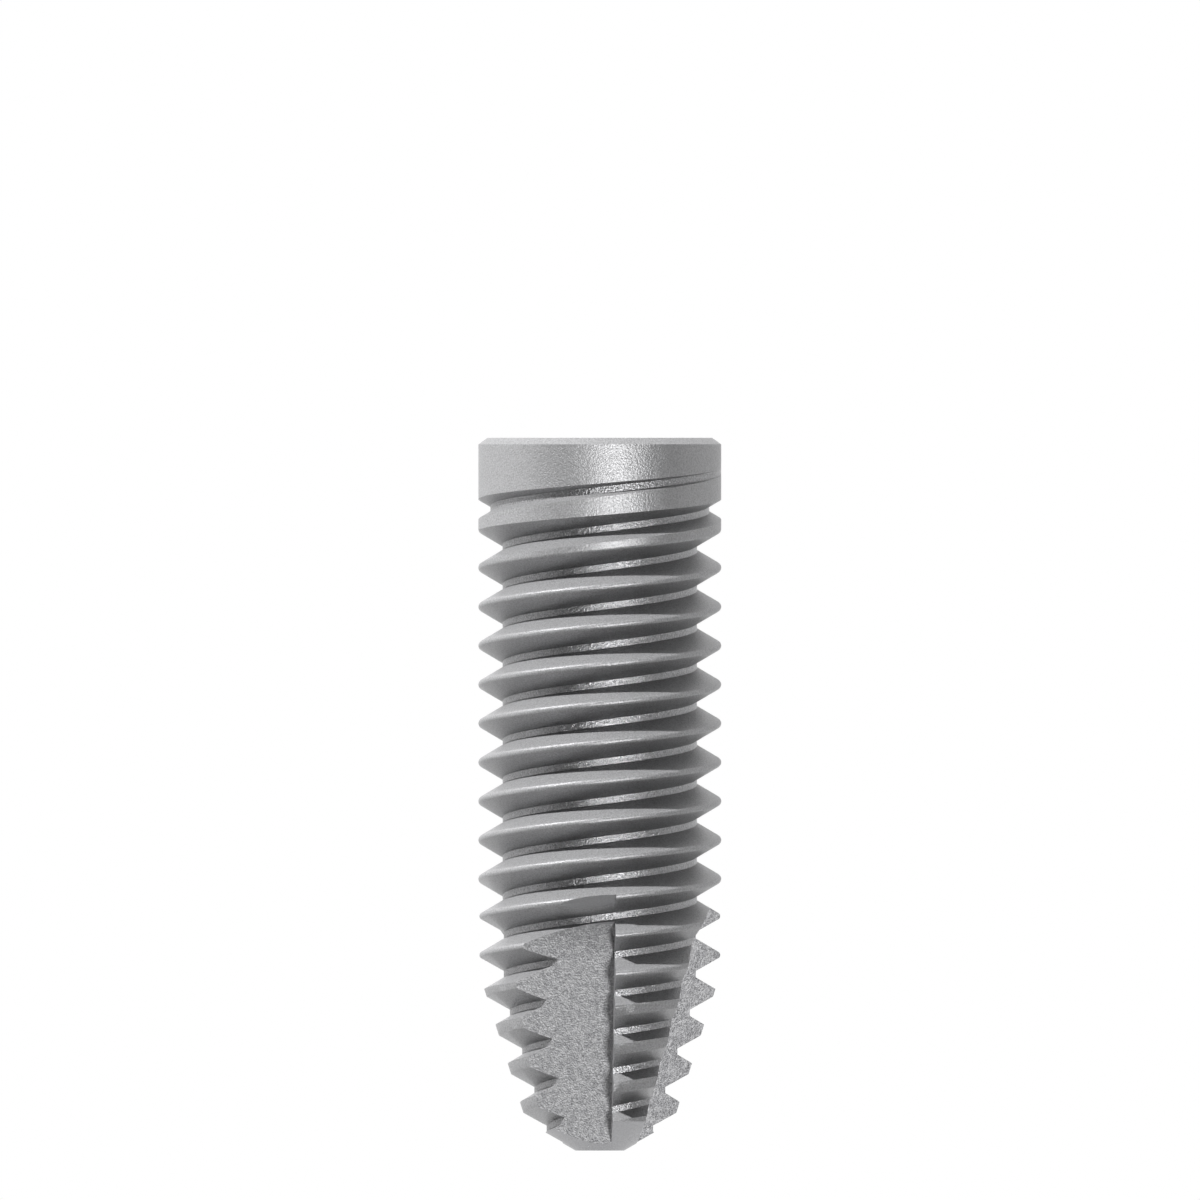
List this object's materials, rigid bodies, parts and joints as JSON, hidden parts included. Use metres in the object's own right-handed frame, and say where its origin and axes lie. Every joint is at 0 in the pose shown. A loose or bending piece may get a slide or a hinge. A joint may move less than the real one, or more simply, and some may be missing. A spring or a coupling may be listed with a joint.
{
  "type": "dental implant",
  "caption": "Screw-shaped titanium dental implant with a double-start outer thread, tapered self-tapping tip and internal hexagon socket.",
  "frame": {"origin": "centre of the platform, the flat end that carries the abutment; the part stands on it", "axes": "+Z along the screw axis from the platform to the tip; +X and +Y across it, a flute's wall facing +X on the -Y side"},
  "size_m": [0.0038, 0.0038, 0.011],
  "materials": {
    "blasted_titanium": "grit-blasted grey titanium, matt with fine sparkle"
  },
  "bodies": {
    "root": {"implant_fixture": "blasted_titanium"}
  },
  "joints": []
}
